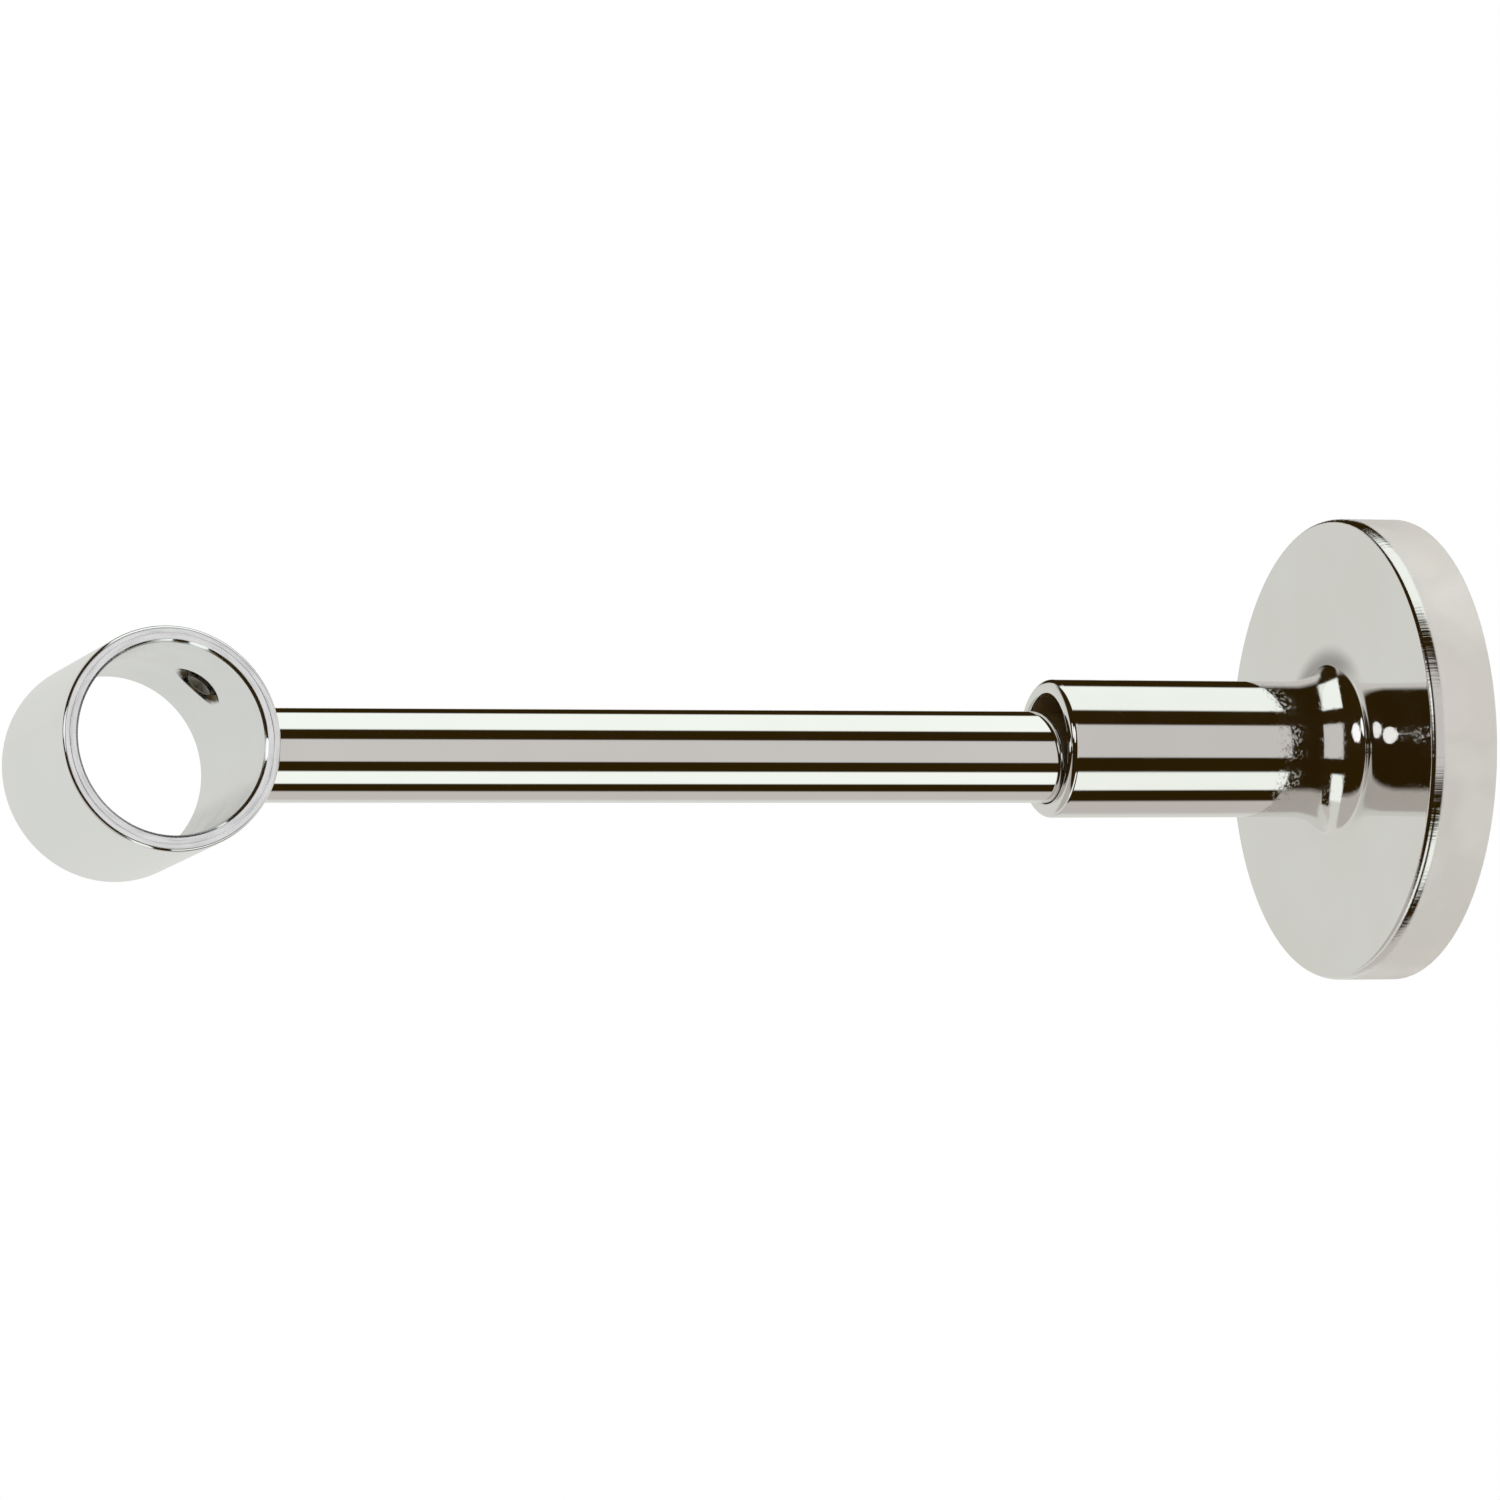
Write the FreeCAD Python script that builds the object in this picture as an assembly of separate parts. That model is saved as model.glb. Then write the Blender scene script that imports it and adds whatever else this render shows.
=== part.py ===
import FreeCAD, Part
import math
import os

# Curtain pole bracket, in millimetres.
# The wall is the plane y = 0, the arm runs out into the room along -Y, the pole lies
# along X and +Z is up. The origin is the centre of the rose's back, on the socket's axis.

# Pole and the ring that holds it
pole_d = 20.0
pole_gap = 0.12           # radial play between the pole and the ring's bore
ring_wall = 1.75
ring_length = 22.0
ring_bore_chamfer = 0.5
ring_outer_chamfer = 0.25
projection = 145.75       # from the wall to the pole's centre

# Arm, a solid rod that slides in the socket
arm_d = 10.0
arm_seated = 20.0         # length of the arm inside the socket
arm_end_chamfer = 0.6
arm_seat_gap = 0.05       # between the arm and the bottom of the socket's bore

# Rose with its socket, one die casting
rose_d = 51.0
rose_depth = 7.85
rose_front_round = 0.9
rose_back_chamfer = 0.3
rose_rim_wall = 2.2
rose_face_wall = 2.2
rose_inner_chamfer = 0.8
socket_d = 15.0
socket_length = 34.5      # from the rose's face to the mouth
foot_flare_rise = 1.2      # the flare at the foot of the socket, a cone
foot_flare_length = 3.3
foot_round = 1.7          # between the flare and the rose's face
socket_mouth_chamfer = 0.3
bore_d = 12.0
bore_depth = 28.0
bore_chamfer = 0.35
boss_d = 15.0
rib_count = 6
rib_thickness = 1.2
first_rib_turn = 0.0

# Wall plate and the stud that the rose is screwed onto
plate_thickness = 2.5
plate_side_gap = 1.3      # between the plate's edge and the rose's rim
plate_front_gap = 0.5     # between the plate and the ribs
plate_edge_chamfer = 0.3
plate_screw_pcd = 28.0
plate_screw_hole_d = 5.0
plate_screw_head_d = 9.0
plate_screw_count = 2
first_plate_screw_turn = 90.0
stud_d = 8.0
stud_length = 12.5        # from the wall to the stud's tip
stud_tip_chamfer = 0.8
stud_head_d = 12.0
stud_head_depth = 1.0

# Grub screws
thread_gap = 0.05         # radial play between a thread and its tapped hole
arm_screw_d = 4.0
arm_screw_length = 3.0
arm_screw_key = 2.0
arm_screw_from_mouth = 7.0
arm_screw_tip_gap = 0.05
pole_screw_d = 4.0
pole_screw_length = 4.0
pole_screw_key = 2.0
pole_screw_angle = 47.5   # from the arm, up round the ring
pole_screw_reach = 0.1    # how far the tip stands inside the bore, short of the pole
screw_tip_chamfer = 0.6
screw_end_chamfer = 0.4
screw_key_depth_share = 0.55

# Sizes that follow from the ones above
ring_bore_r = pole_d / 2 + pole_gap
ring_r = ring_bore_r + ring_wall
arm_r = arm_d / 2
bore_r = bore_d / 2
arm_drop = bore_r - arm_r - arm_seat_gap
rose_r = rose_d / 2
socket_r = socket_d / 2
mouth = rose_depth + socket_length
cavity_r = rose_r - rose_rim_wall
cavity_depth = rose_depth - rose_face_wall
rib_end = plate_thickness + plate_front_gap
plate_r = cavity_r - plate_side_gap
stud_r = stud_d / 2

ROOM = FreeCAD.Vector(0, -1, 0)
ALONG_POLE = FreeCAD.Vector(1, 0, 0)
UP = FreeCAD.Vector(0, 0, 1)
WALL_CENTRE = FreeCAD.Vector(0, 0, 0)
RING_CENTRE = FreeCAD.Vector(0, -projection, -arm_drop)


def rounded_wire(corners):
    """Closed wire in the plane y = 0 through (radius, height, rounding) corners."""
    points = [FreeCAD.Vector(r, 0, h) for r, h, rounding in corners]
    count = len(points)
    starts = []
    ends = []
    arcs = []
    for i, (r, h, rounding) in enumerate(corners):
        corner = points[i]
        if rounding == 0:
            starts.append(corner)
            ends.append(corner)
            arcs.append(None)
            continue
        back = (points[i - 1] - corner).normalize()
        ahead = (points[(i + 1) % count] - corner).normalize()
        half = back.getAngle(ahead) / 2
        reach = rounding / math.tan(half)
        middle = (back + ahead).normalize()
        nearest = corner + middle * (rounding / math.sin(half) - rounding)
        starts.append(corner + back * reach)
        ends.append(corner + ahead * reach)
        arcs.append(nearest)
    edges = []
    for i in range(count):
        if arcs[i] is not None:
            edges.append(Part.Arc(starts[i], arcs[i], ends[i]).toShape())
        following = starts[(i + 1) % count]
        if ends[i].distanceToPoint(following) > 1e-6:
            edges.append(Part.LineSegment(ends[i], following).toShape())
    return Part.Wire(edges)


def turned(corners):
    """Solid turned about Z from (radius, height, rounding) corners."""
    return Part.Face(rounded_wire(corners)).revolve(WALL_CENTRE, UP, 360)


def aimed(shape, base, direction):
    """Moves a shape that stands on the origin along Z to a base and a direction."""
    placed = shape.copy()
    placed.Placement = FreeCAD.Placement(base, FreeCAD.Rotation(UP, direction)) * shape.Placement
    return placed


def rod(radius, length, base, direction):
    return Part.makeCylinder(radius, length, base, direction)


def hexagon(across_flats, depth):
    """Hexagonal prism about Z that reaches from z = 0 up to its depth."""
    corner_r = across_flats / math.sqrt(3)
    corners = []
    for k in range(7):
        turn = math.radians(60 * k)
        corners.append(FreeCAD.Vector(corner_r * math.cos(turn), corner_r * math.sin(turn), 0))
    return Part.Face(Part.makePolygon(corners)).extrude(UP * depth)


def grub_screw(diameter, length, key):
    """Headless screw about Z: its flat tip at z = 0, its hexagon socket at the top."""
    r = diameter / 2
    body = turned([
        (0, 0, 0),
        (r - screw_tip_chamfer, 0, 0),
        (r, screw_tip_chamfer, 0),
        (r, length - screw_end_chamfer, 0),
        (r - screw_end_chamfer, length, 0),
        (0, length, 0),
    ])
    key_depth = length * screw_key_depth_share
    socket = hexagon(key, key_depth)
    socket.translate(UP * (length - key_depth))
    return body.cut(socket)


def around_axis(count, first_turn):
    """Directions square to the socket's axis, evenly spaced from +X towards +Z."""
    turns = [math.radians(first_turn + 360 * k / count) for k in range(count)]
    return [FreeCAD.Vector(math.cos(t), 0, math.sin(t)) for t in turns]


def rose_rib(direction):
    """Low radial rib between the boss and the rim, inside the hollow back."""
    start_r = boss_d / 2 - rib_thickness
    length = cavity_r + rose_rim_wall / 2 - start_r
    rib = Part.makeBox(length, rib_thickness, cavity_depth + rose_face_wall / 2 - rib_end)
    rib.translate(FreeCAD.Vector(start_r, -rib_thickness / 2, rib_end))
    turn = math.degrees(math.atan2(direction.z, direction.x))
    rib.rotate(WALL_CENTRE, UP, turn)
    return aimed(rib, WALL_CENTRE, ROOM)


def wall_rose():
    """Round rose with a hollow back, a boss for the stud and the arm's socket."""
    blank = aimed(turned([
        (cavity_r, 0, 0),
        (rose_r - rose_back_chamfer, 0, 0),
        (rose_r, rose_back_chamfer, 0),
        (rose_r, rose_depth, rose_front_round),
        (socket_r + foot_flare_rise, rose_depth, foot_round),
        (socket_r, rose_depth + foot_flare_length, 0),
        (socket_r, mouth - socket_mouth_chamfer, 0),
        (socket_r - socket_mouth_chamfer, mouth, 0),
        (bore_r + bore_chamfer, mouth, 0),
        (bore_r, mouth - bore_chamfer, 0),
        (bore_r, mouth - bore_depth, 0),
        (stud_r + thread_gap, mouth - bore_depth, 0),
        (stud_r + thread_gap, rib_end, 0),
        (boss_d / 2, rib_end, 0),
        (boss_d / 2, cavity_depth - rose_inner_chamfer, 0),
        (boss_d / 2 + rose_inner_chamfer, cavity_depth, 0),
        (cavity_r - rose_inner_chamfer, cavity_depth, 0),
        (cavity_r, cavity_depth - rose_inner_chamfer, 0),
    ]), WALL_CENTRE, ROOM)
    ribs = [rose_rib(direction) for direction in around_axis(rib_count, first_rib_turn)]
    screw_place = ROOM * (mouth - arm_screw_from_mouth)
    screw_hole = rod(arm_screw_d / 2 + thread_gap, socket_d, screw_place, UP)
    return blank.fuse(ribs).removeSplitter().cut(screw_hole)


def wall_plate():
    """Steel disc that is screwed to the wall inside the rose."""
    plate = aimed(turned([
        (stud_head_d / 2 + thread_gap, 0, 0),
        (plate_r, 0, 0),
        (plate_r, plate_thickness - plate_edge_chamfer, 0),
        (plate_r - plate_edge_chamfer, plate_thickness, 0),
        (stud_r + thread_gap, plate_thickness, 0),
        (stud_r + thread_gap, stud_head_depth, 0),
        (stud_head_d / 2 + thread_gap, stud_head_depth, 0),
    ]), WALL_CENTRE, ROOM)
    for direction in around_axis(plate_screw_count, first_plate_screw_turn):
        centre = direction * (plate_screw_pcd / 2)
        hole_r = plate_screw_hole_d / 2
        head_r = plate_screw_head_d / 2
        sink = head_r - hole_r
        plate = plate.cut(rod(hole_r, plate_thickness, centre, ROOM))
        sunk_from = centre + ROOM * (plate_thickness - sink)
        plate = plate.cut(Part.makeCone(hole_r, head_r, sink, sunk_from, ROOM))
    return plate


def plate_stud():
    """Stud with a flat head that is trapped between the plate and the wall."""
    return aimed(turned([
        (0, 0, 0),
        (stud_head_d / 2, 0, 0),
        (stud_head_d / 2, stud_head_depth, 0),
        (stud_r, stud_head_depth, 0),
        (stud_r, stud_length - stud_tip_chamfer, 0),
        (stud_r - stud_tip_chamfer, stud_length, 0),
        (0, stud_length, 0),
    ]), WALL_CENTRE, ROOM)


def arm():
    """Rod that lies on the bottom of the socket's bore and is coped to the ring."""
    inner_end = mouth - arm_seated
    length = projection - inner_end
    blank = aimed(turned([
        (0, 0, 0),
        (arm_r - arm_end_chamfer, 0, 0),
        (arm_r, arm_end_chamfer, 0),
        (arm_r, length, 0),
        (0, length, 0),
    ]), FreeCAD.Vector(0, -inner_end, -arm_drop), ROOM)
    cope_start = RING_CENTRE - ALONG_POLE * ring_length
    return blank.cut(rod(ring_r, 2 * ring_length, cope_start, ALONG_POLE))


def pole_screw_direction():
    turn = math.radians(pole_screw_angle)
    return FreeCAD.Vector(0, math.cos(turn), math.sin(turn))


def pole_ring():
    """Short tube that the pole passes through, tapped for its grub screw."""
    half = ring_length / 2
    tube = aimed(turned([
        (ring_bore_r + ring_bore_chamfer, -half, 0),
        (ring_r - ring_outer_chamfer, -half, 0),
        (ring_r, ring_outer_chamfer - half, 0),
        (ring_r, half - ring_outer_chamfer, 0),
        (ring_r - ring_outer_chamfer, half, 0),
        (ring_bore_r + ring_bore_chamfer, half, 0),
        (ring_bore_r, half - ring_bore_chamfer, 0),
        (ring_bore_r, ring_bore_chamfer - half, 0),
    ]), RING_CENTRE, ALONG_POLE)
    hole_r = pole_screw_d / 2 + thread_gap
    return tube.cut(rod(hole_r, 2 * ring_r, RING_CENTRE, pole_screw_direction()))


def arm_grub_screw():
    """Screw in the top of the socket that presses the arm down."""
    tip_height = arm_r - arm_drop + arm_screw_tip_gap
    tip = ROOM * (mouth - arm_screw_from_mouth) + UP * tip_height
    return aimed(grub_screw(arm_screw_d, arm_screw_length, arm_screw_key), tip, UP)


def pole_grub_screw():
    """Screw in the ring, with its tip level with the bore's wall so that the pole fits."""
    direction = pole_screw_direction()
    tip = RING_CENTRE + direction * (ring_bore_r - pole_screw_reach)
    return aimed(grub_screw(pole_screw_d, pole_screw_length, pole_screw_key), tip, direction)


PIECES = {
    "wall_rose": wall_rose,
    "wall_plate": wall_plate,
    "plate_stud": plate_stud,
    "arm": arm,
    "pole_ring": pole_ring,
    "arm_grub_screw": arm_grub_screw,
    "pole_grub_screw": pole_grub_screw,
}

os.makedirs("parts", exist_ok=True)
for name, make in PIECES.items():
    shape = make()
    print(name, "solids", len(shape.Solids), "valid", shape.isValid(), "volume", round(shape.Volume, 1))
    shape.exportStep("parts/" + name + ".step")
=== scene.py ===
import math

import bmesh
import bpy
from mathutils import Matrix, Vector


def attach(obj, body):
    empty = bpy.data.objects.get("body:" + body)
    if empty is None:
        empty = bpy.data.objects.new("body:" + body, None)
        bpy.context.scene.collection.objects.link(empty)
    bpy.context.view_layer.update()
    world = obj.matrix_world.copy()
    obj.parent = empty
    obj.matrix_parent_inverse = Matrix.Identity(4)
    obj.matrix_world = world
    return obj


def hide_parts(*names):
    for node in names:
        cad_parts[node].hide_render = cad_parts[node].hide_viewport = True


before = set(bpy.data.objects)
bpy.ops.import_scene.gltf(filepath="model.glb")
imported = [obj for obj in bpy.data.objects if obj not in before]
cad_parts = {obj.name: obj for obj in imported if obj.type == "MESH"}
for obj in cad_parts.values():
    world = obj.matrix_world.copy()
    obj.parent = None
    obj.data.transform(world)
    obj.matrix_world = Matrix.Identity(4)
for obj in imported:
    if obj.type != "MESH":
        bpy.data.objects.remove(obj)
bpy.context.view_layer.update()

# Metres. The wall is y = 0, the arm runs out along -Y, the pole lies along X, +Z is up.
MM = 0.001
ROOM = Vector((0, -1, 0))
ALONG_POLE = Vector((1, 0, 0))
UP = Vector((0, 0, 1))
WALL_CENTRE = Vector((0, 0, 0))

# Rose and socket, in millimetres
ROSE_R = 25.5
ROSE_DEPTH = 7.85
ROSE_EDGE_R = 0.5
ROSE_EDGE_DEPTH = 1.1
EDGE_START_Y = ROSE_EDGE_DEPTH - ROSE_DEPTH
CAVITY_R = 23.3
CAVITY_DEPTH = 5.65
SOCKET_R = 7.5
MOUTH = 42.35
BORE_R = 6.0
BORE_FLOOR = 14.35
BOSS_R = 7.5
RIB_END = 3.0
RIB_THICKNESS = 1.2
RIB_INTO_WALL = 1.1
RIB_COUNT = 6
FLARE_ARC = 9.8
FLARE_TURN = math.radians(21.5)
FLARE_BEND = 4.4
FLARE_END = math.radians(45)
FLARE_FILLET = 0.8
FOOT_R = (SOCKET_R + FLARE_ARC * (1 - math.cos(FLARE_TURN))
          + FLARE_BEND * (math.cos(FLARE_TURN) - math.cos(FLARE_END))
          + FLARE_FILLET * math.cos(FLARE_END))

# Arm and ring, in millimetres
ARM_R = 5.0
ARM_INNER_END = 22.35
ARM_DROP = 0.95
ARM_ROWS = 12
PROJECTION = 145.75
RING_R = 11.87
RING_BORE_R = 10.12
RING_LENGTH = 22.0
RING_BORE_CHAMFER = 0.32
RING_EDGE_ROUND = 0.42
GROOVE_R = RING_BORE_R + 0.95
GROOVE_DEPTH = 0.05
INTO_RING = 0.05
RING_CENTRE = Vector((0, -PROJECTION, -ARM_DROP))

# Plate and stud, in millimetres
PLATE_R = 22.0
PLATE_THICKNESS = 2.5
PLATE_HOLE_R = 2.5
PLATE_SINK_R = 4.6
PLATE_SINK_DEPTH = 2.0
PLATE_SCREW_CIRCLE_R = 14.0
STUD_R = 4.0
STUD_LENGTH = 12.5
STUD_TIP_CHAMFER = 0.8
STUD_HEAD_R = 6.0
STUD_HEAD_DEPTH = 1.0

# Threads and grub screws, in millimetres
THREAD_GAP = 0.05
THREAD_DEPTH = 0.6  # as a share of the pitch
M8_PITCH = 1.25
M8_GROOVE = 0.6
M4_PITCH = 0.7
M4_R = 2.0
M4_KEY = 2.0
ARM_SCREW_LENGTH = 3.0
ARM_SCREW_PLACE = Vector((0, -35.35, 0))
ARM_SCREW_TIP_GAP = 0.05
POLE_SCREW_LENGTH = 4.0
POLE_SCREW_REACH = 0.1
POLE_SCREW_TURN = math.radians(47.5)
POLE_SCREW_AXIS = Vector((0, math.cos(POLE_SCREW_TURN), math.sin(POLE_SCREW_TURN)))

SHARP_ANGLE = math.radians(28)


def rounded(corners, steps=8, near=0.03):
    """Closed outline through (radius, height, rounding) corners, in millimetres.

    Each rounding has a point close by on either side, so that the flats next to it stay flat.
    """
    points = [Vector((c[0], c[1])) for c in corners]
    outline = []
    for i, (_, _, rounding) in enumerate(corners):
        corner = points[i]
        if rounding == 0:
            outline.append(corner)
            continue
        back = (points[i - 1] - corner).normalized()
        ahead = (points[(i + 1) % len(points)] - corner).normalized()
        half = back.angle(ahead) / 2
        reach = rounding / math.tan(half)
        centre = corner + (back + ahead).normalized() * rounding / math.sin(half)
        first = corner + back * reach - centre
        last = corner + ahead * reach - centre
        sweep = first.angle_signed(last)
        outline.append(corner + back * (reach + near))
        for k in range(steps + 1):
            outline.append(centre + Matrix.Rotation(-sweep * k / steps, 2) @ first)
        outline.append(corner + ahead * (reach + near))
    return outline


def placed(bm, base, axis):
    """Carries a shape that stands on the origin along Z, in millimetres, to its place."""
    turn = UP.rotation_difference(axis).to_matrix().to_4x4()
    move = Matrix.Translation(base * MM) @ turn @ Matrix.Scale(MM, 4)
    bmesh.ops.transform(bm, matrix=move, verts=bm.verts)


def new_object(name, bm):
    bmesh.ops.remove_doubles(bm, verts=bm.verts, dist=1e-7)
    bmesh.ops.recalc_face_normals(bm, faces=bm.faces)
    mesh = bpy.data.meshes.new(name)
    bm.to_mesh(mesh)
    bm.free()
    piece = bpy.data.objects.new(name, mesh)
    bpy.context.collection.objects.link(piece)
    return piece


def turned(name, outline, base, axis, segments=256):
    """Closed shape turned about an axis from (radius, height) points in millimetres."""
    on_axis = 1e-6
    bm = bmesh.new()
    rows = []
    for r, h in outline:
        if r < on_axis:
            rows.append([bm.verts.new((0, 0, h))] * segments)
            continue
        turns = [math.tau * k / segments for k in range(segments)]
        rows.append([bm.verts.new((r * math.cos(t), r * math.sin(t), h)) for t in turns])
    closed = outline[0][0] > on_axis
    count = len(rows) if closed else len(rows) - 1
    for i in range(count):
        low = rows[i]
        high = rows[(i + 1) % len(rows)]
        for k in range(segments):
            following = (k + 1) % segments
            ring = [low[k], low[following], high[following], high[k]]
            corners = [v for n, v in enumerate(ring) if v is not ring[n - 1]]
            if len(corners) > 2:
                bm.faces.new(corners)
    placed(bm, base, axis)
    return new_object(name, bm)


def finished_mesh(piece):
    """Applies what the modifiers make and leaves a plain mesh."""
    graph = bpy.context.evaluated_depsgraph_get()
    mesh = bpy.data.meshes.new_from_object(piece.evaluated_get(graph))
    piece.modifiers.clear()
    piece.data = mesh
    return piece


def joined(piece, tool, operation):
    """Cuts one shape from another, or fuses them, and removes the tool."""
    change = piece.modifiers.new("join", "BOOLEAN")
    change.object = tool
    change.operation = operation
    change.solver = "EXACT"
    finished_mesh(piece)
    bpy.data.objects.remove(tool)
    return piece


class Tree:
    """Short ways to add and wire the nodes of a tree."""

    def __init__(self, tree):
        self.tree = tree

    def feed(self, socket, value):
        if isinstance(value, bpy.types.NodeSocket):
            self.tree.links.new(value, socket)
        elif socket.type == "RGBA":
            socket.default_value = (*value, 1)
        else:
            socket.default_value = value

    def add(self, kind, feeds=(), **settings):
        """New node with its settings, fed by the names or numbers of its inputs."""
        node = self.tree.nodes.new(kind)
        for key, value in settings.items():
            setattr(node, key, value)
        for key, value in dict(feeds).items():
            self.feed(node.inputs[key], value)
        return node

    def calc(self, kind, *values):
        """One Math node of the named kind."""
        return self.add("ShaderNodeMath", enumerate(values), operation=kind).outputs[0]

    def product(self, first, *others):
        for other in others:
            first = self.calc("MULTIPLY", first, other)
        return first

    def total(self, first, *others):
        for other in others:
            first = self.calc("ADD", first, other)
        return first

    def length(self, *sides):
        return self.calc("SQRT", self.total(*[self.calc("POWER", side, 2.0) for side in sides]))

    def vector(self, x=0.0, y=0.0, z=0.0):
        return self.add("ShaderNodeCombineXYZ", {0: x, 1: y, 2: z}).outputs[0]

    def parts_of(self, vector):
        return self.add("ShaderNodeSeparateXYZ", {0: vector}).outputs

    def mapped(self, value, low, high, to_low, to_high, soft=False):
        """Value from one range carried over to another and held at its ends."""
        return self.add("ShaderNodeMapRange", {
            "Value": value, "From Min": low, "From Max": high, "To Min": to_low, "To Max": to_high,
        }, interpolation_type="SMOOTHSTEP" if soft else "LINEAR").outputs["Result"]

    def ramp(self, value, stops):
        """Colour from (value, colour) stops."""
        node = self.add("ShaderNodeValToRGB", {0: value})
        points = node.color_ramp.elements
        while len(points) < len(stops):
            points.new(0.5)
        for point, (at, colour) in zip(points, stops):
            point.position = at
            point.color = (*colour, 1)
        return node.outputs[0]

    def blended(self, share, first, second):
        """Colour that goes from the first to the second."""
        node = self.add("ShaderNodeMix", data_type="RGBA")
        sockets = [s for s in node.inputs if s.enabled]
        for socket, value in zip(sockets, (share, first, second)):
            self.feed(socket, value)
        return [s for s in node.outputs if s.enabled][0]


def new_group(name, sockets):
    """Geometry nodes tree with its inputs, from (name, kind) pairs."""
    group = bpy.data.node_groups.new(name, "GeometryNodeTree")
    for label, kind in [("Geometry", "Geometry"), *sockets, ("Material", "Material")]:
        group.interface.new_socket(label, in_out="INPUT", socket_type="NodeSocket" + kind)
    group.interface.new_socket("Geometry", in_out="OUTPUT", socket_type="NodeSocketGeometry")
    return Tree(group), group.nodes.new("NodeGroupInput").outputs


def end_group(t, geometry, material):
    """Makes the geometry real and gives it its material at the tree's output."""
    real = t.add("GeometryNodeRealizeInstances", {0: geometry})
    painted = t.add("GeometryNodeSetMaterial", {"Geometry": real.outputs[0], "Material": material})
    t.add("NodeGroupOutput", {0: painted.outputs[0]})
    return t.tree


def thread_tree():
    """Rod about Z from Bottom to Top with a screw thread cut into it."""
    rows_per_turn = 14.0
    sides = 72
    crest_end, root_start = 0.14, 0.82
    names = ("Radius", "Depth", "Pitch", "Bottom", "Top", "Bottom Chamfer", "Top Chamfer")
    t, inputs = new_group("screw_thread", [(name, "Float") for name in names])
    radius, depth, pitch, bottom, top, bottom_chamfer, top_chamfer = (inputs[n] for n in names)
    height = t.calc("SUBTRACT", top, bottom)
    turns = t.calc("DIVIDE", height, pitch)
    blank = t.add("GeometryNodeMeshCylinder", {
        "Vertices": sides, "Side Segments": t.calc("CEIL", t.product(turns, rows_per_turn)),
        "Radius": radius, "Depth": height,
    }, fill_type="NGON")
    x, y, level = t.parts_of(t.add("GeometryNodeInputPosition").outputs[0])
    z = t.total(level, t.product(t.total(top, bottom), 0.5))
    turn = t.calc("DIVIDE", t.calc("ARCTAN2", y, x), math.tau)
    phase = t.calc("SUBTRACT", t.calc("DIVIDE", z, pitch), turn)
    from_middle = t.calc("ABSOLUTE", t.calc("SUBTRACT", t.calc("FRACT", phase), 0.5))
    flank = t.mapped(t.product(from_middle, 2.0), crest_end, root_start, 0.0, 1.0)
    threaded = t.calc("SUBTRACT", radius, t.product(flank, depth))
    from_bottom = t.calc("SUBTRACT", z, bottom)
    from_top = t.calc("SUBTRACT", top, z)
    low = t.calc("MAXIMUM", t.calc("SUBTRACT", bottom_chamfer, from_bottom), 0.0)
    high = t.calc("MAXIMUM", t.calc("SUBTRACT", top_chamfer, from_top), 0.0)
    tapered = t.calc("SUBTRACT", radius, t.calc("MAXIMUM", low, high))
    share = t.calc("DIVIDE", t.calc("MINIMUM", threaded, tapered), radius)
    shaped = t.add("GeometryNodeSetPosition", {
        "Geometry": blank.outputs["Mesh"],
        "Position": t.vector(t.product(x, share), t.product(y, share), z),
    })
    return end_group(t, shaped.outputs[0], inputs["Material"])


def around_axis_tree():
    """Copies of the incoming shape, turned about the socket's axis."""
    t, inputs = new_group("around_the_axis", [("Count", "Int"), ("First Turn", "Float")])
    places = t.add("GeometryNodePoints", {"Count": inputs["Count"]})
    index = t.add("GeometryNodeInputIndex").outputs[0]
    step = t.calc("DIVIDE", math.tau, inputs["Count"])
    turn = t.total(t.product(index, step), inputs["First Turn"])
    copies = t.add("GeometryNodeInstanceOnPoints", {
        "Points": places.outputs[0], "Instance": inputs["Geometry"],
        "Rotation": t.vector(y=t.product(turn, -1.0)),
    })
    return end_group(t, copies.outputs[0], inputs["Material"])


def made_by(group, piece, values):
    """Runs a geometry nodes tree on a piece, with values for its named inputs."""
    maker = piece.modifiers.new(group.name, "NODES")
    maker.node_group = group
    for item in group.interface.items_tree:
        if item.in_out == "INPUT" and item.name in values:
            maker[item.identifier] = values[item.name]
    return finished_mesh(piece)


def threaded_rod(name, radius, pitch, bottom, top, base, axis, material, chamfers=(0.0, 0.0)):
    """Screw thread about an axis, sizes in millimetres along it from its base."""
    piece = bpy.data.objects.new(name, bpy.data.meshes.new(name))
    bpy.context.collection.objects.link(piece)
    made_by(THREAD, piece, {
        "Radius": radius, "Depth": THREAD_DEPTH * pitch, "Pitch": pitch,
        "Bottom": bottom, "Top": top,
        "Bottom Chamfer": chamfers[0], "Top Chamfer": chamfers[1], "Material": material,
    })
    bm = bmesh.new()
    bm.from_mesh(piece.data)
    placed(bm, base, axis)
    bm.to_mesh(piece.data)
    bm.free()
    return piece


def set_around(piece, count, first_turn, material):
    return made_by(AROUND, piece, {"Count": count, "First Turn": first_turn, "Material": material})


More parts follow.
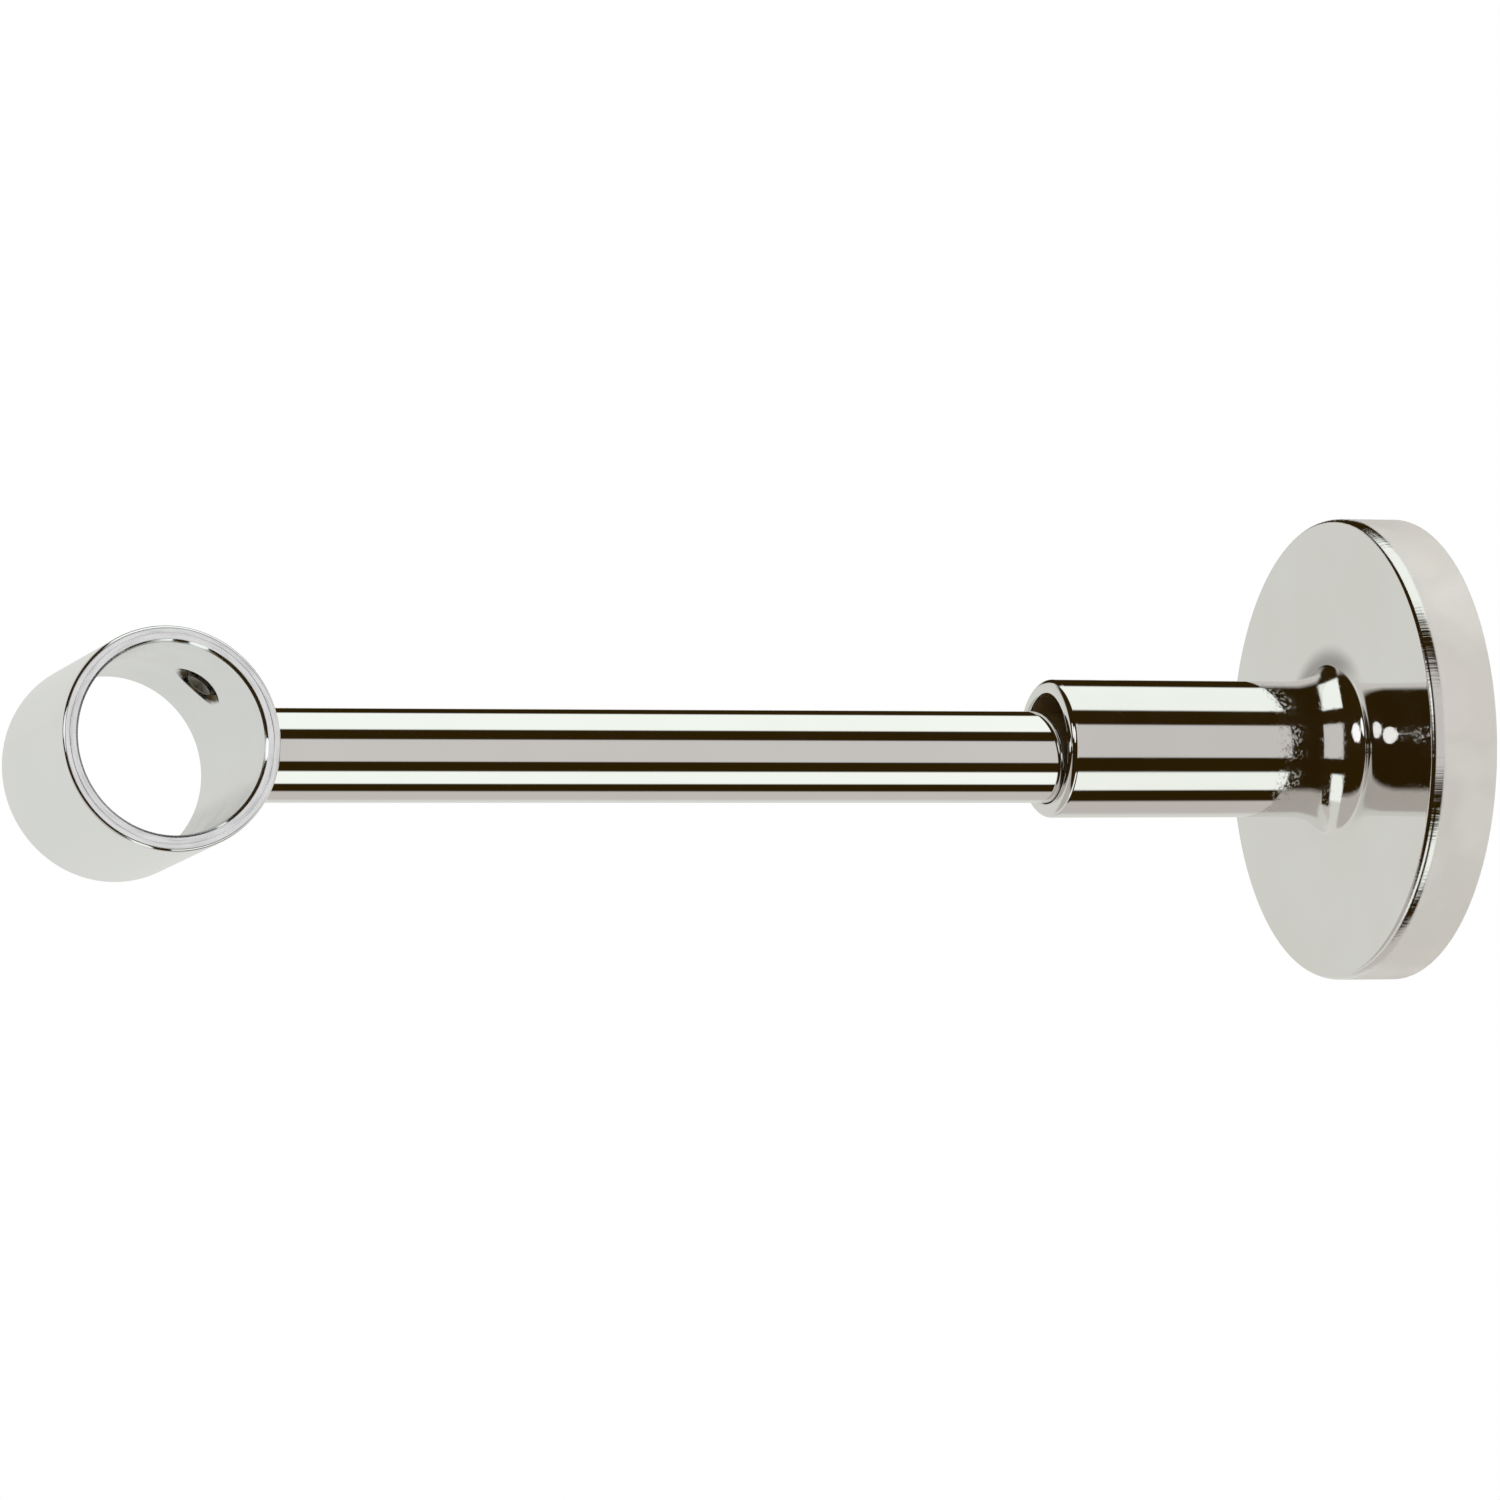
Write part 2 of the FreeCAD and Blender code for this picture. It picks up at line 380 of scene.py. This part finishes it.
class Finish(Tree):
    """Material whose colour, roughness and relief follow the place on the piece."""

    def __init__(self, name):
        self.material = bpy.data.materials.new(name)
        self.material.use_nodes = True
        super().__init__(self.material.node_tree)
        self.where = self.add("ShaderNodeTexCoord").outputs["Object"]

    def noise(self, scale, detail, rough=0.5, where=None):
        return self.add("ShaderNodeTexNoise", {
            "Vector": self.where if where is None else where,
            "Scale": scale, "Detail": detail, "Roughness": rough,
        }).outputs[0]

    def mottled(self, scale, detail, low, high, to_low, to_high):
        """Noise with its middle range carried over to another one."""
        return self.mapped(self.noise(scale, detail), low, high, to_low, to_high)

    def stretched(self, scale):
        return self.add("ShaderNodeMapping", {"Vector": self.where, "Scale": scale}).outputs[0]

    def between(self, place, low, high, start=0.0, end=1.0, soft=False):
        """Share that goes from start to end between two places in millimetres."""
        return self.mapped(place, low * MM, high * MM, start, end, soft)

    def bump(self, height, strength, distance, under=None):
        feeds = {"Strength": strength, "Distance": distance, "Height": height}
        if under is not None:
            feeds["Normal"] = under
        return self.add("ShaderNodeBump", feeds).outputs[0]

    def finished(self, colour, roughness, relief=None, metallic=1.0):
        inputs = self.tree.nodes["Principled BSDF"].inputs
        self.feed(inputs["Base Color"], colour)
        self.feed(inputs["Roughness"], roughness)
        self.feed(inputs["Metallic"], metallic)
        if relief is not None:
            self.feed(inputs["Normal"], relief)
        return self.material


def chromed_casting():
    """Bright chrome on a zinc die casting: mirror faces, a satin rim, rough polish at the foot,
    painted shade on the face above it.
    """
    t = Finish("chromed_casting")
    x, y, z = t.parts_of(t.where)
    from_axis = t.length(x, z)
    edge_start = (EDGE_START_Y + 0.15, EDGE_START_Y + 0.45)
    rim = t.product(t.between(from_axis, ROSE_R - 0.12, ROSE_R - 0.02), t.between(y, *edge_start))
    inside = t.product(t.between(from_axis, BORE_R + 0.1, BORE_R + 0.3, 1.0, 0.0),
                       t.between(y, 0.35 - MOUTH, 0.55 - MOUTH))
    # Rough polish where the socket meets the foot, and a little at the mouth
    foot = t.product(t.between(y, -19.0, -16.0, soft=True),
                     t.between(y, -15.8, -13.2, 1.0, 0.38, soft=True),
                     t.between(from_axis, SOCKET_R - 0.3, SOCKET_R - 0.1),
                     t.between(from_axis, 9.0, 9.6, 1.0, 0.0))
    mouth = t.between(y, 0.45 - MOUTH, 0.85 - MOUTH, 0.12, 0.0)
    rough_polish = t.calc("MAXIMUM", foot, mouth)
    # The rose's face is hazy above and below the foot
    haze = t.product(t.between(y, -0.1 - ROSE_DEPTH, -0.01 - ROSE_DEPTH),
                     t.between(from_axis, 10.2, 13.0, 1.0, 0.0, soft=True),
                     t.between(t.calc("ABSOLUTE", z), 4.0, 7.5, 0.0, 0.2, soft=True))
    smudges = t.mottled(260.0, 3.0, 0.35, 0.75, 0.02, 0.07)
    satin = t.product(rim, t.mottled(140.0, 2.0, 0.3, 0.7, 0.48, 0.62))
    roughness = t.total(smudges, satin, t.product(rough_polish, 0.012), haze,
                        t.product(inside, 0.4))
    bright = t.ramp(t.noise(90.0, 2.0), [(0.3, (0.82, 0.81, 0.79)), (0.7, (0.845, 0.84, 0.83))])
    worn = t.ramp(t.noise(110.0, 2.0), [
        (0.35, (0.80, 0.775, 0.725)), (0.5, (0.735, 0.715, 0.665)), (0.65, (0.775, 0.735, 0.685))])
    # Painted shade: a soft dark halo on the face just above the foot, in place of the dark flare's
    # blurred reflection
    painted_shade_above_foot = t.product(t.between(y, -0.35 - ROSE_DEPTH, -0.2 - ROSE_DEPTH),
                               t.between(from_axis, 9.6, 12.0, 0.55, 0.0, soft=True),
                               t.between(z, 5.5, 9.5, soft=True))
    plated = t.blended(painted_shade_above_foot, t.blended(rim, bright, worn), (0.05, 0.035, 0.015))
    colour = t.blended(inside, plated, (0.26, 0.16, 0.06))
    metallic = t.calc("SUBTRACT", t.mapped(rim, 0.0, 1.0, 1.0, 0.25), t.product(inside, 0.6))
    waves = t.bump(t.noise(120.0, 1.0), 0.12, 0.00002)
    grains = t.mapped(t.noise(2600.0, 3.0, 0.65), 0.52, 0.70, 0.0, 1.0, soft=True)
    marked = t.bump(t.product(grains, rough_polish), 0.3, 0.00002, waves)
    # Polishing strokes run across the crowned edge
    edge = t.product(t.between(from_axis, 24.9, 25.1), t.between(y, *edge_start, 1.0, 0.0))
    round_it = t.vector(t.calc("DIVIDE", x, from_axis), 0.0, t.calc("DIVIDE", z, from_axis))
    strokes = t.product(t.noise(30.0, 5.0, 0.7, where=round_it), edge)
    return t.finished(colour, roughness, t.bump(strokes, 0.35, 0.00015, marked), metallic)


def chromed_rod():
    """Bright chrome on drawn steel: faint draw lines along the rod, thin smudges."""
    t = Finish("chromed_steel")
    smudges = t.mottled(240.0, 3.0, 0.35, 0.75, 0.018, 0.06)
    tone = t.ramp(t.noise(80.0, 2.0), [(0.3, (0.87, 0.865, 0.845)), (0.7, (0.89, 0.887, 0.875))])
    lines = t.noise(900.0, 2.0, where=t.stretched((1.0, 0.02, 1.0)))
    waves = t.bump(t.noise(90.0, 1.0, where=t.stretched((1.0, 0.3, 1.0))), 0.1, 0.00002)
    return t.finished(tone, smudges, t.bump(lines, 0.04, 0.000004, waves))


def chromed_tube():
    """Bright chrome on the ring: a duller bore, ground ends, bare steel and painted shade round
    the screw's hole.
    """
    t = Finish("chromed_ring")
    x, y, z = t.parts_of(t.where)
    y = t.total(y, PROJECTION * MM)
    z = t.total(z, ARM_DROP * MM)
    from_centre = t.length(y, z)
    end_face = t.between(t.calc("ABSOLUTE", x), RING_LENGTH / 2 - 0.05, RING_LENGTH / 2 - 0.01)
    bore = t.between(from_centre, RING_BORE_R + 0.08, RING_BORE_R + 0.18, 1.0, 0.0)
    roughness = t.total(t.mottled(300.0, 3.0, 0.35, 0.75, 0.03, 0.09),
                        t.product(end_face, 0.10), t.product(bore, 0.17))
    drawn = t.ramp(t.noise(120.0, 2.0), [(0.3, (0.88, 0.89, 0.905)), (0.7, (0.90, 0.905, 0.915))])
    drawn = t.blended(bore, drawn, (0.85, 0.86, 0.875))
    # Turning streaks run around the ends
    length = t.product(from_centre, 0.3)
    around = t.vector(t.product(from_centre, 2600.0),
                      t.calc("DIVIDE", y, length), t.calc("DIVIDE", z, length))
    ground = t.ramp(t.noise(1.0, 3.0, 0.6, where=around), [
        (0.34, (0.74, 0.745, 0.765)), (0.45, (0.85, 0.86, 0.885)), (0.62, (0.95, 0.955, 0.975))])
    plated = t.blended(end_face, drawn, ground)
    # Dark bare steel in the screw's hole, and on its edge painted shade that stands in for the
    # screw's blurred reflection in the bore
    cosine, sine = math.cos(POLE_SCREW_TURN), math.sin(POLE_SCREW_TURN)
    along = t.total(t.product(y, cosine), t.product(z, sine))
    across = t.total(t.product(y, -sine), t.product(z, cosine))
    bare_steel_and_painted_shade = t.product(t.between(t.length(x, across), M4_R + 0.45, M4_R + 0.75, 1.0, 0.0),
                     t.between(along, 8.0, 9.0),
                     t.between(from_centre, RING_R - 0.27, RING_R - 0.07, 1.0, 0.0))
    colour = t.blended(bare_steel_and_painted_shade, plated, (0.09, 0.065, 0.035))
    waves = t.bump(t.noise(110.0, 1.0), 0.1, 0.00002)
    nicks = t.product(t.noise(700.0, 2.0, 0.6), end_face)
    return t.finished(colour, roughness, t.bump(nicks, 0.3, 0.00001, waves),
                      t.mapped(end_face, 0.0, 1.0, 1.0, 0.6))


def zinc_plate():
    """Zinc-plated steel: bluish grey, soft sheen, faint spangle and grain."""
    t = Finish("zinc_plated_steel")
    spangle = t.ramp(t.noise(180.0, 4.0, 0.6), [
        (0.30, (0.52, 0.55, 0.60)), (0.52, (0.64, 0.65, 0.65)), (0.72, (0.70, 0.68, 0.60))])
    roughness = t.mottled(700.0, 3.0, 0.3, 0.7, 0.26, 0.44)
    return t.finished(spangle, roughness, t.bump(t.noise(3000.0, 3.0, 0.6), 0.25, 0.00003))


def screw_steel():
    """Dark nickel-plated screws with lighter, worn patches."""
    t = Finish("screw_steel")
    wear = t.noise(1400.0, 3.0, 0.6)
    colour = t.ramp(wear, [(0.35, (0.03, 0.023, 0.014)), (0.7, (0.10, 0.085, 0.06))])
    roughness = t.mapped(wear, 0.3, 0.7, 0.24, 0.42)
    return t.finished(colour, roughness, t.bump(t.noise(5000.0, 2.0), 0.2, 0.00002))


def dressed(piece, material, body, node):
    """Gives a finished piece its material and its body, and hides the CAD node that it stands for.
    """
    piece.data.materials.clear()
    piece.data.materials.append(material)
    for face in piece.data.polygons:
        face.material_index = 0
    piece.data.shade_smooth()
    piece.data.set_sharp_from_angle(angle=SHARP_ANGLE)
    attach(piece, body)
    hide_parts(node)


def arc_on(points, radius, start, end, steps=18):
    """Carries an outline on along an arc that hollows it, from one slope to another."""
    corner = points[-1]
    for k in range(1, steps + 1):
        t = start + (end - start) * k / steps
        points.append(Vector((corner.x - radius * (math.cos(t) - math.cos(start)),
                              corner.y + radius * (math.sin(start) - math.sin(t)))))


def foot_outline(fillet_steps=8):
    """Fillet on the rose's face and the flare up to the socket, as (radius, depth) points."""
    points = []
    for k in range(fillet_steps + 1):
        t = math.pi / 2 - (math.pi / 2 - FLARE_END) * k / fillet_steps
        points.append(Vector((FOOT_R - FLARE_FILLET * math.cos(t),
                              ROSE_DEPTH + FLARE_FILLET * (1 - math.sin(t)))))
    arc_on(points, FLARE_BEND, FLARE_END, FLARE_TURN)
    arc_on(points, FLARE_ARC, FLARE_TURN, 0.0)
    return points


def front_edge(steps=20):
    """Crowned front edge of the rose, from the rim to the face."""
    points = []
    for k in range(steps + 1):
        t = math.pi / 2 * k / steps
        points.append(Vector((ROSE_R - ROSE_EDGE_R * (1 - math.cos(t)),
                              ROSE_DEPTH - ROSE_EDGE_DEPTH * (1 - math.sin(t)))))
    return points


def rose_outline():
    """Outline of the hollow casting, from the rim over the socket's mouth to the cavity."""
    rim = rounded([(CAVITY_R, 0, 0), (ROSE_R, 0, 0.3), (ROSE_R, ROSE_DEPTH, 0)])[:-1]
    face_start = Vector((ROSE_R - ROSE_EDGE_R - 0.03, ROSE_DEPTH))
    rest = rounded([
        (FOOT_R, ROSE_DEPTH, 0),
        (SOCKET_R, MOUTH, 0.85), (BORE_R, MOUTH, 0.35), (BORE_R, BORE_FLOOR, 0),
        (STUD_R + THREAD_GAP, BORE_FLOOR, 0), (STUD_R + THREAD_GAP, RIB_END, 0.2),
        (BOSS_R, RIB_END, 0.3), (BOSS_R, CAVITY_DEPTH, 0.8), (CAVITY_R, CAVITY_DEPTH, 0.8),
        (CAVITY_R, 0, 0),
    ])
    return rim + front_edge() + [face_start] + foot_outline() + rest[1:-1]


def rose_ribs():
    """Ribs between the boss and the rim."""
    inner = BOSS_R - RIB_THICKNESS
    outer = CAVITY_R + RIB_INTO_WALL
    high = CAVITY_DEPTH + RIB_INTO_WALL
    size = Vector((outer - inner, high - RIB_END, RIB_THICKNESS))
    middle = Vector(((outer + inner) / 2, -(high + RIB_END) / 2, 0))
    rib = bmesh.new()
    bmesh.ops.create_cube(rib, size=1)
    place = Matrix.Translation(middle * MM) @ Matrix.Diagonal((size * MM).to_4d())
    bmesh.ops.transform(rib, matrix=place, verts=rib.verts)
    return set_around(new_object("rose_ribs", rib), RIB_COUNT, 0.0, CASTING)


def rose_with_socket():
    rose = turned("rose_with_socket", rose_outline(), WALL_CENTRE, ROOM, segments=288)
    joined(rose, rose_ribs(), "UNION")
    joined(rose, threaded_rod("stud_hole", STUD_R + THREAD_GAP + M8_GROOVE, M8_PITCH, 2.0, 16.0,
                              WALL_CENTRE, ROOM, CASTING), "DIFFERENCE")
    joined(rose, threaded_rod("arm_screw_hole", M4_R + THREAD_GAP, M4_PITCH, 4.0, 9.0,
                              ARM_SCREW_PLACE, UP, CASTING), "DIFFERENCE")
    dressed(rose, CASTING, "rose_assembly", "wall_rose")


def coped_arm(segments=160):
    """Round rod with a chamfered inner end; the other end follows the ring's outside."""
    chamfer = [(ARM_R - 0.6, 0), (ARM_R - 0.05, 0.55), (ARM_R, 0.66), (ARM_R, 0.8)]
    stations = [(r, -ARM_INNER_END - depth) for r, depth in chamfer]
    plain_start = stations[-1][1]
    plain_end = -PROJECTION + RING_R + 0.3
    for k in range(1, ARM_ROWS + 1):
        stations.append((ARM_R, plain_start + (plain_end - plain_start) * k / ARM_ROWS))
    cope_r = RING_R - INTO_RING
    turns = [math.tau * k / segments for k in range(segments)]
    bm = bmesh.new()
    rows = [[bm.verts.new((r * math.cos(a), y, r * math.sin(a) - ARM_DROP)) for a in turns]
            for r, y in stations]
    cope = []
    for a in turns:
        z = ARM_R * math.sin(a)
        y = -PROJECTION + math.sqrt(cope_r ** 2 - z * z)
        cope.append(bm.verts.new((ARM_R * math.cos(a), y, z - ARM_DROP)))
    rows.append(cope)
    inner = bm.verts.new((0, -ARM_INNER_END, -ARM_DROP))
    outer = bm.verts.new((0, -PROJECTION + cope_r, -ARM_DROP))
    for k in range(segments):
        n = (k + 1) % segments
        for low, high in zip(rows, rows[1:]):
            bm.faces.new((low[k], low[n], high[n], high[k]))
        bm.faces.new((rows[0][k], rows[0][n], inner))
        bm.faces.new((cope[k], cope[n], outer))
    bmesh.ops.transform(bm, matrix=Matrix.Scale(MM, 4), verts=bm.verts)
    dressed(new_object("arm_rod", bm), ROD, "arm_assembly", "arm")


def ring_with_screw_hole():
    half = RING_LENGTH / 2
    chamfer = RING_BORE_CHAMFER
    outline = rounded([
        (RING_BORE_R + chamfer, -half, 0.06), (GROOVE_R - GROOVE_DEPTH, -half, 0),
        (GROOVE_R, GROOVE_DEPTH - half, 0), (GROOVE_R + GROOVE_DEPTH, -half, 0),
        (RING_R, -half, RING_EDGE_ROUND), (RING_R, half, RING_EDGE_ROUND),
        (GROOVE_R + GROOVE_DEPTH, half, 0), (GROOVE_R, half - GROOVE_DEPTH, 0),
        (GROOVE_R - GROOVE_DEPTH, half, 0), (RING_BORE_R + chamfer, half, 0.06),
        (RING_BORE_R, half - chamfer, 0.06), (RING_BORE_R, chamfer - half, 0.06),
    ], steps=6)
    ring = turned("ring_tube", outline, RING_CENTRE, ALONG_POLE, segments=320)
    # Plain and countersunk at both ends. The screw hides nearly all of the wall, and it slides
    # without turning, so a thread in the wall would cut the screw's.
    hole_r = M4_R + THREAD_GAP
    hole = turned("pole_screw_hole", [
        (0, 9.0), (3.6, 9.0), (hole_r, RING_BORE_R + 0.48), (hole_r, RING_R - 0.25),
        (2.8, RING_R + 0.5), (0, RING_R + 0.5),
    ], RING_CENTRE, POLE_SCREW_AXIS, segments=96)
    joined(ring, hole, "DIFFERENCE")
    dressed(ring, TUBE, "arm_assembly", "pole_ring")


def grub_screw(name, length, base, axis, start):
    """M4 screw without a head: threaded shank, chamfered ends, cup point, hexagon socket."""
    end = start + length
    screw = threaded_rod(name, M4_R, M4_PITCH, start, end, base, axis, SCREW, (0.55, 0.35))
    corner_r = M4_KEY / math.sqrt(3)
    socket_floor = end - 0.55 * length
    hexagon = turned("hexagon", [(0, socket_floor), (corner_r, socket_floor), (corner_r, end + 1),
                                 (0, end + 1)], base, axis, segments=6)
    joined(screw, hexagon, "DIFFERENCE")
    cup_r = M4_R - 0.85
    cup = turned("cup", [(0, start + 0.45), (cup_r, start), (cup_r + 0.2, start - 0.2),
                         (0, start - 0.2)], base, axis, segments=48)
    return joined(screw, cup, "DIFFERENCE")


def grub_screws():
    on_arm = grub_screw("arm_screw", ARM_SCREW_LENGTH, ARM_SCREW_PLACE, UP,
                        ARM_R - ARM_DROP + ARM_SCREW_TIP_GAP)
    dressed(on_arm, SCREW, "rose_assembly", "arm_grub_screw")
    on_pole = grub_screw("pole_screw", POLE_SCREW_LENGTH, RING_CENTRE, POLE_SCREW_AXIS,
                         RING_BORE_R - POLE_SCREW_REACH)
    dressed(on_pole, SCREW, "pole_screw_body", "pole_grub_screw")


def wall_plate():
    """Round plate with a recess for the stud's head and two countersunk screw holes."""
    hole_r = STUD_R + THREAD_GAP
    head_r = STUD_HEAD_R + THREAD_GAP
    top = PLATE_THICKNESS
    plate = turned("wall_plate_disc", rounded([
        (head_r, 0, 0.1), (PLATE_R, 0, 0.3), (PLATE_R, top, 0.3),
        (hole_r, top, 0.15), (hole_r, STUD_HEAD_DEPTH, 0), (head_r, STUD_HEAD_DEPTH, 0),
    ]), WALL_CENTRE, ROOM, segments=192)
    sink = turned("plate_screw_hole", [
        (0, -1), (PLATE_HOLE_R, -1), (PLATE_HOLE_R, top - PLATE_SINK_DEPTH),
        (PLATE_SINK_R, top + 0.1), (PLATE_SINK_R, 4), (0, 4),
    ], Vector((PLATE_SCREW_CIRCLE_R, 0, 0)), ROOM, segments=64)
    joined(plate, set_around(sink, 2, math.pi / 2, ZINC), "DIFFERENCE")
    dressed(plate, ZINC, "rose_assembly", "wall_plate")


def plate_stud():
    """Threaded stud with a flat head and a short neck in between."""
    neck_r = STUD_R - 0.9
    neck_end = STUD_HEAD_DEPTH + 0.4
    stud = turned("plate_stud_screw", rounded([
        (0, 0, 0), (STUD_HEAD_R, 0, 0.2), (STUD_HEAD_R, STUD_HEAD_DEPTH, 0.1),
        (neck_r, STUD_HEAD_DEPTH, 0), (neck_r, neck_end, 0), (0, neck_end, 0),
    ]), WALL_CENTRE, ROOM, segments=96)
    shank = threaded_rod("stud_shank", STUD_R, M8_PITCH, STUD_HEAD_DEPTH - 0.2, STUD_LENGTH,
                         WALL_CENTRE, ROOM, ZINC, (0.0, STUD_TIP_CHAMFER))
    joined(stud, shank, "UNION")
    dressed(stud, ZINC, "rose_assembly", "plate_stud")


def bands(edges, first):
    """Ramp stops from (degrees, colour after the edge, half width of the edge in degrees)."""
    stops = [(0.0, first)]
    colour = first
    for degrees, following, width in edges:
        at = (degrees + 180) / 360
        stops.append((at - width / 360, colour))
        stops.append((at + width / 360, following))
        colour = following
    return stops


def tent_colours(t):
    """Light tent with dark strips between its lights, by the direction of the ray.

    The strips follow the turn about Y. Along Y the tent goes from the dark room over two rows
    of windows and the long strips to a plain end behind the wall.
    """
    white = (1.0, 1.05, 0.99)
    pale = (0.72, 0.725, 0.685)
    grey = (0.63, 0.61, 0.595)
    warm = (0.58, 0.545, 0.515)
    dark = (0.026, 0.014, 0.002)
    face = (0.70, 0.69, 0.65)
    dim = (0.50, 0.475, 0.44)
    lamp_white = (1.15, 1.15, 1.15)
    lamp_edge = 0.01
    front_axis = Vector((0.987, 0.0, -0.160))
    high_axis = Vector((0.160, 0.0, 0.987))
    ray = t.add("ShaderNodeTexCoord").outputs["Generated"]

    def along(direction):
        node = t.add("ShaderNodeVectorMath", {0: ray, 1: direction}, operation="DOT_PRODUCT")
        return node.outputs["Value"]

    turn = t.calc("ARCTAN2", along(high_axis), along(front_axis))
    turn = t.mapped(turn, -math.pi, math.pi, 0.0, 1.0)
    upper_bands = [(40, dark, 1.2), (65, white, 1.5), (122, dark, 2.5), (164.5, pale, 4.3)]
    room = t.ramp(turn, bands([
        (-135, dim, 4), (-73, dark, 6), (132, face, 8), (172, pale, 6)], pale))
    windows = t.ramp(turn, bands([
        (-85, white, 2), (-39, dark, 1.5), (-14.3, grey, 1.2), *upper_bands], pale))
    upper_windows = t.ramp(turn, bands([
        (-140, warm, 6), (-98, dark, 2.5), (-14.3, grey, 1.2), *upper_bands], pale))
    strips = t.ramp(turn, bands([
        (-140, warm, 6), (-98, dark, 2.5), (-72.8, white, 1.5), (-39, dark, 1.5),
        (-14.3, grey, 1.2), (40, dark, 1.2), (67, white, 1.5), (127, dark, 2.5),
        (165, pale, 2)], pale))
    to_wall = along((0.0, 1.0, 0.0))
    colour = room
    for low, high, following in ((-0.215, -0.185, windows), (0.03, 0.06, upper_windows),
                                 (0.24, 0.26, strips), (0.75, 0.9, face)):
        colour = t.blended(t.mapped(to_wall, low, high, 0.0, 1.0), colour, following)
    # Round lamps that show as bright spots at the socket's foot and on the edges of the ring,
    # in degrees: height, turn out into the room and radius
    for lamp in ((27, 42, 11.5), (27, 29.6, 0.9), (48, 62.5, 8.5)):
        height, out, radius = (math.radians(angle) for angle in lamp)
        direction = (front_axis * (math.cos(out) * math.cos(height))
                     + high_axis * (math.cos(out) * math.sin(height)) + ROOM * math.sin(out))
        near = along(direction.normalized())
        lit = t.mapped(near, math.cos(radius + lamp_edge), math.cos(radius), 0.0, 1.0)
        colour = t.blended(lit, colour, lamp_white)
    return colour


def studio_world():
    """White behind everything and soft white light; only mirrored rays see the light tent."""
    world = bpy.data.worlds.new("light_tent")
    bpy.context.scene.world = world
    world.use_nodes = True
    world.node_tree.nodes.clear()
    t = Tree(world.node_tree)

    def light(colour, strength=1.0):
        feeds = {"Color": colour, "Strength": strength}
        return t.add("ShaderNodeBackground", feeds).outputs[0]

    def either(share, first, second):
        return t.add("ShaderNodeMixShader", {0: share, 1: first, 2: second}).outputs[0]

    white = (1.0, 1.0, 1.0)
    ray_is = t.add("ShaderNodeLightPath").outputs
    on_pieces = either(ray_is["Is Glossy Ray"], light(white, 0.9), light(tent_colours(t)))
    surface = either(ray_is["Is Camera Ray"], on_pieces, light(white))
    t.add("ShaderNodeOutputWorld", {"Surface": surface})


def pale_floor():
    """Pale floor well under the bracket, seen by the eye and not by the chrome."""
    bm = bmesh.new()
    bmesh.ops.create_circle(bm, cap_ends=True, segments=96, radius=4.0)
    bmesh.ops.transform(bm, matrix=Matrix.Translation((0, 0, -0.32)), verts=bm.verts)
    mesh = bpy.data.meshes.new("floor")
    bm.to_mesh(mesh)
    bm.free()
    floor = bpy.data.objects.new("floor", mesh)
    bpy.context.collection.objects.link(floor)
    floor.visible_glossy = False
    t = Finish("floor_paper")
    tone = t.ramp(t.noise(4.0, 2.0), [(0.3, (0.93, 0.93, 0.92)), (0.7, (0.95, 0.95, 0.945))])
    mesh.materials.append(t.finished(tone, 0.9, metallic=0.0))


def soft_lamp():
    light = bpy.data.lights.new("soft_box", "AREA")
    light.shape = "DISK"
    light.size = 1.2
    light.energy = 2.5
    lamp = bpy.data.objects.new("soft_box", light)
    lamp.location = (0.6, -0.5, 1.4)
    middle_of_part = Vector((0, -0.07, 0))
    lamp.rotation_euler = (middle_of_part - lamp.location).to_track_quat("-Z", "Y").to_euler()
    lamp.visible_glossy = False
    bpy.context.collection.objects.link(lamp)


def camera():
    """Camera fitted to the outlines in the photo."""
    lens = bpy.data.cameras.new("camera")
    lens.sensor_fit = "HORIZONTAL"
    lens.sensor_width = 36.0
    lens.lens = 200.35
    lens.clip_start = 0.01
    eye = bpy.data.objects.new("camera", lens)
    place = Matrix.Translation((0.82181, -0.41354, -0.13353))
    right = Vector((0.37035, 0.92712, -0.05728))
    down = Vector((-0.15907, 0.00255, -0.98726))
    ahead = Vector((-0.91517, 0.37475, 0.14842))
    eye.matrix_world = place @ Matrix((right, -down, -ahead)).transposed().to_4x4()
    bpy.context.collection.objects.link(eye)
    bpy.context.scene.camera = eye


THREAD = thread_tree()
AROUND = around_axis_tree()
CASTING = chromed_casting()
ROD = chromed_rod()
TUBE = chromed_tube()
ZINC = zinc_plate()
SCREW = screw_steel()

bpy.context.scene.view_settings.view_transform = "Standard"
camera()
studio_world()
pale_floor()
soft_lamp()
rose_with_socket()
coped_arm()
ring_with_screw_hole()
grub_screws()
wall_plate()
plate_stud()
